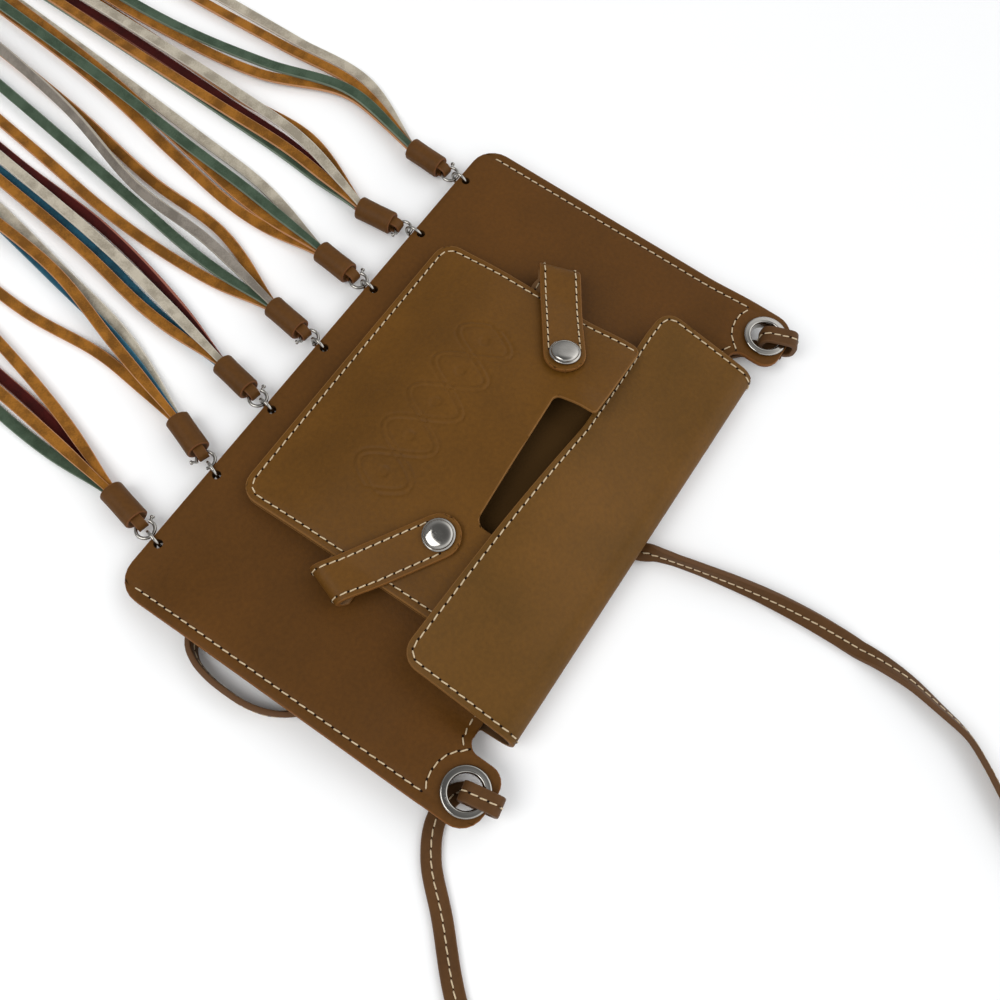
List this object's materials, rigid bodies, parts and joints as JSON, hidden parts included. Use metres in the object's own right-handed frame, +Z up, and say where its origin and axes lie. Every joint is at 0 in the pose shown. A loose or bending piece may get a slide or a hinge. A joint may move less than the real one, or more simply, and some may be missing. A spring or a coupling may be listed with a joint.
{
  "type": "fringe crossbody bag",
  "caption": "Flat leather crossbody bag lying on its back: rolled flap, snapped-on front pouch with a thumb notch, suede fringe on ring clasps and a long thin strap.",
  "frame": {"origin": "on the floor under the bag's middle, on the underside of the strap that passes beneath the bag", "axes": "+Z up out of the bag's front, +Y from the fringe edge to the folded top edge, +X to the bag's left end as one looks at its front with the fringe at the bottom turned away from its right end"},
  "size_m": [0.2923, 0.552, 0.022],
  "materials": {
    "leather": "semi-matte tan brown",
    "cap_leather": "smooth dark brown",
    "suede": "napped suede",
    "nickel": "polished nickel plate"
  },
  "bodies": {
    "root": {"back_and_flap": "leather", "front_panel": "leather", "pouch_back": "leather", "pouch_front": "leather", "crossbody_strap": "leather", "snap_strap_left": "leather", "snap_left": "nickel", "grommet_left": "nickel", "strap_loop_left": "leather", "snap_strap_right": "leather", "snap_right": "nickel", "grommet_right": "nickel", "strap_loop_right": "leather", "tassel_1_laces": "suede", "tassel_1_cap": "cap_leather", "tassel_1_neck": "leather", "tassel_1_spring_ring": "nickel", "tassel_1_jump_ring": "nickel", "tassel_2_laces": "suede", "tassel_2_cap": "cap_leather", "tassel_2_neck": "leather", "tassel_2_spring_ring": "nickel", "tassel_2_jump_ring": "nickel", "tassel_3_laces": "suede", "tassel_3_cap": "cap_leather", "tassel_3_neck": "leather", "tassel_3_spring_ring": "nickel", "tassel_3_jump_ring": "nickel", "tassel_4_laces": "suede", "tassel_4_cap": "cap_leather", "tassel_4_neck": "leather", "tassel_4_spring_ring": "nickel", "tassel_4_jump_ring": "nickel", "tassel_5_laces": "suede", "tassel_5_cap": "cap_leather", "tassel_5_neck": "leather", "tassel_5_spring_ring": "nickel", "tassel_5_jump_ring": "nickel", "tassel_6_laces": "suede", "tassel_6_cap": "cap_leather", "tassel_6_neck": "leather", "tassel_6_spring_ring": "nickel", "tassel_6_jump_ring": "nickel", "tassel_7_laces": "suede", "tassel_7_cap": "cap_leather", "tassel_7_neck": "leather", "tassel_7_spring_ring": "nickel", "tassel_7_jump_ring": "nickel"}
  },
  "joints": []
}
